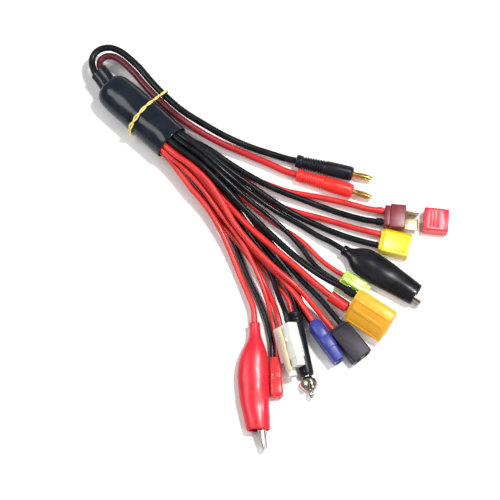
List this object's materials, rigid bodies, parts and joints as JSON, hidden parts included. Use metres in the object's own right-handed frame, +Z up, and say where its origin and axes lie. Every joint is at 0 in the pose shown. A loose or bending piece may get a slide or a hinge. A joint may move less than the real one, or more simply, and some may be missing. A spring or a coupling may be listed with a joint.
{
  "type": "multi-connector battery charging lead",
  "caption": "Fan-out charging lead: two banana plugs loop into a taped hub, from which paired red and black wires run to different battery plugs and crocodile clips.",
  "frame": {"origin": "on the surface the lead lies on, under the centre of the box of the hub with its neck and rubber band", "axes": "+X along the hub from the neck towards its open mouth and the fan of plugs, +Y towards the banana plugs' side, +Z up from the surface"},
  "size_m": [0.2536, 0.1819, 0.0239],
  "materials": {
    "hub_plastic": "glossy heat-shrunk blue-black sleeving",
    "splice_metal": "crimped copper alloy",
    "band_rubber": "matte natural rubber",
    "red_silicone": "satin silicone insulation, red",
    "black_silicone": "satin silicone insulation, black",
    "black_grip": "satin moulded plastic",
    "red_grip": "satin moulded plastic",
    "gold_contact": "bright gold plating",
    "wine_nylon": "satin dark red nylon",
    "cap_red": "glossy bright red plastic",
    "yellow_nylon": "satin yellow nylon",
    "black_nylon": "satin black nylon",
    "blue_nylon": "satin blue nylon",
    "lime_nylon": "translucent lime nylon",
    "white_nylon": "translucent white nylon",
    "ivory_nylon": "satin ivory nylon",
    "red_nylon": "glossy red nylon",
    "nickel": "nickel-plated steel",
    "jaw_steel": "dull plated spring steel",
    "black_boot": "glossy flexible vinyl, black",
    "red_boot": "glossy flexible vinyl, red"
  },
  "bodies": {
    "loom": {"hub_sleeve": "hub_plastic", "neck_sleeve": "hub_plastic", "negative_splice": "splice_metal", "positive_splice": "splice_metal", "rubber_band": "band_rubber", "tee_red_wire": "red_silicone", "tee_black_wire": "black_silicone", "small_yellow_red_wire": "red_silicone", "small_yellow_black_wire": "black_silicone", "black_clip_wire": "black_silicone", "lime_black_wire": "black_silicone", "lime_red_wire": "red_silicone", "large_yellow_black_wire": "black_silicone", "large_yellow_red_wire": "red_silicone", "black_plug_black_wire": "black_silicone", "black_plug_red_wire": "red_silicone", "blue_black_wire": "black_silicone", "blue_red_wire": "red_silicone", "igniter_black_wire": "black_silicone", "igniter_red_wire": "red_silicone", "latch_red_wire": "red_silicone", "latch_black_wire": "black_silicone", "small_red_red_wire": "red_silicone", "small_red_black_wire": "black_silicone", "red_clip_wire": "red_silicone", "supply_black_wire": "black_silicone", "supply_red_wire": "red_silicone", "black_banana_grip": "black_grip", "black_banana_pin": "gold_contact", "red_banana_grip": "red_grip", "red_banana_pin": "gold_contact", "tee_plug_body": "wine_nylon", "tee_plug_flat_blade": "gold_contact", "tee_plug_upright_blade": "gold_contact", "small_yellow_housing": "yellow_nylon", "small_yellow_left_pin": "gold_contact", "small_yellow_right_pin": "gold_contact", "large_yellow_housing": "yellow_nylon", "large_yellow_left_pin": "gold_contact", "large_yellow_right_pin": "gold_contact", "black_plug_housing": "black_nylon", "blue_plug_housing": "blue_nylon", "blue_plug_left_bullet": "gold_contact", "blue_plug_right_bullet": "gold_contact", "lime_plug_housing": "lime_nylon", "latch_plug_housing": "white_nylon", "small_red_housing": "red_nylon", "igniter_grip": "black_grip", "igniter_socket": "nickel", "black_clip_boot": "black_boot", "black_clip_fixed_jaw": "jaw_steel", "red_clip_boot": "red_boot", "red_clip_fixed_jaw": "jaw_steel"},
    "tee_cap": {"tee_plug_cap": "cap_red"},
    "red_jaw": {"red_clip_moving_jaw": "jaw_steel"},
    "black_jaw": {"black_clip_moving_jaw": "jaw_steel"},
    "lime_latch": {"lime_plug_latch": "lime_nylon"},
    "white_latch": {"latch_plug_latch": "ivory_nylon"},
    "igniter_tip": {"igniter_contact": "nickel"}
  },
  "joints": [
    {"name": "tee_cap_pull", "type": "slide", "parent": "loom", "child": "tee_cap", "axis": [0.788, 0.6157, 0], "range_m": [-0.0108, 0]},
    {"name": "red_jaw_hinge", "type": "hinge", "parent": "loom", "child": "red_jaw", "pos_m": [0.18074, -0.08228, 0.0056], "axis": [0, 0, -1], "range_deg": [0, 6.5], "stiffness_Nm_per_rad": 0.05, "springref_deg": -14.32},
    {"name": "black_jaw_hinge", "type": "hinge", "parent": "loom", "child": "black_jaw", "pos_m": [0.18465, 0.02182, 0.0056], "axis": [0, 0, 1], "range_deg": [0, 6.5], "stiffness_Nm_per_rad": 0.05, "springref_deg": -14.32},
    {"name": "lime_latch_press", "type": "hinge", "parent": "loom", "child": "lime_latch", "pos_m": [0.17084, 0.00578, 0.0065], "axis": [0.1822, -0.9833, 0], "range_deg": [0, 8], "stiffness_Nm_per_rad": 0.02, "springref_deg": -2.86},
    {"name": "white_latch_press", "type": "hinge", "parent": "loom", "child": "white_latch", "pos_m": [0.16699, -0.04868, 0.01284], "axis": [-0.3538, -0.5366, -0.766], "range_deg": [0, 8], "stiffness_Nm_per_rad": 0.02, "springref_deg": -2.86},
    {"name": "igniter_tip_press", "type": "slide", "parent": "loom", "child": "igniter_tip", "axis": [-0.8131, 0.5821, 0], "range_m": [0, 0.0025], "stiffness_N_per_m": 300, "springref_m": -0.002}
  ]
}
